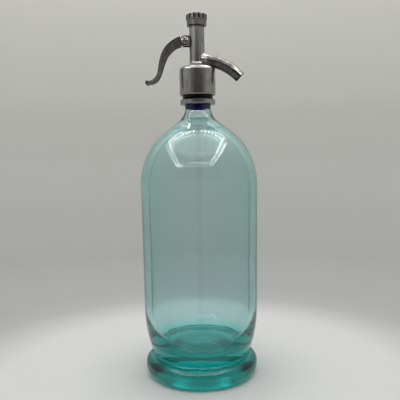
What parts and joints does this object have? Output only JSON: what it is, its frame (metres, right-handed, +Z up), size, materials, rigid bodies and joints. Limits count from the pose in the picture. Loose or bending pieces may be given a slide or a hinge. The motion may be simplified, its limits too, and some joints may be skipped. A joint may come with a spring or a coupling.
{
  "type": "soda siphon",
  "caption": "Soda siphon: thick pale teal glass bottle with a screwed cast-metal head, a curved spout and an S-shaped lever that lifts a spring-loaded valve.",
  "frame": {"origin": "on the bottle's axis, at the table that the foot stands on", "axes": "+Z up along the bottle's axis, +X towards the spout, -X towards the lever, -Y towards the side with the pivot screw's head"},
  "size_m": [0.104, 0.104, 0.3198],
  "materials": {
    "bottle_glass": "thick pressed glass, pale teal, deeper in the foot",
    "tube_glass": "clear drawn glass",
    "pewter": "aged cast pewter-coloured alloy, dull sheen",
    "polished_metal": "polished, slightly worn",
    "dark_iron": "dark cast metal with a fine grain",
    "screw_steel": "turned steel",
    "spring_steel": "drawn wire",
    "brass": "turned brass",
    "blue_plastic": "dark blue, smooth",
    "seal_rubber": "soft black rubber",
    "fibre": "pressed fibre sheet"
  },
  "bodies": {
    "siphon": {"glass_bottle": "bottle_glass", "dip_tube": "tube_glass", "collar_half_back": "pewter", "collar_half_front": "pewter", "neck_bung": "blue_plastic", "neck_washer": "seal_rubber", "head_body": "pewter", "spout": "polished_metal", "cap_washer": "fibre", "top_cap": "pewter", "seat_washer": "fibre", "valve_seat": "brass", "gland_packing": "seal_rubber", "gland_nut": "brass", "spring_cup": "screw_steel", "closing_spring": "spring_steel", "pivot_screw": "screw_steel"},
    "lever": {"lever": "dark_iron"},
    "valve_rod": {"plunger": "brass", "valve_washer": "seal_rubber", "washer_screw": "brass"}
  },
  "joints": [
    {"name": "lever_pivot", "type": "hinge", "parent": "siphon", "child": "lever", "pos_m": [-0.0104, 0, 0.29709], "axis": [0, -1, 0], "range_deg": [0, 20], "stiffness_Nm_per_rad": 0.17, "springref_deg": -51.57},
    {"name": "plunger_lift", "type": "slide", "parent": "siphon", "child": "valve_rod", "axis": [0, 0, 1], "range_m": [0, 0.00227], "deforming": ["closing_spring"]}
  ],
  "couplings": [
    {"joint": "lever_pivot", "follows": "plunger_lift", "rad_per_m": 153.85}
  ]
}
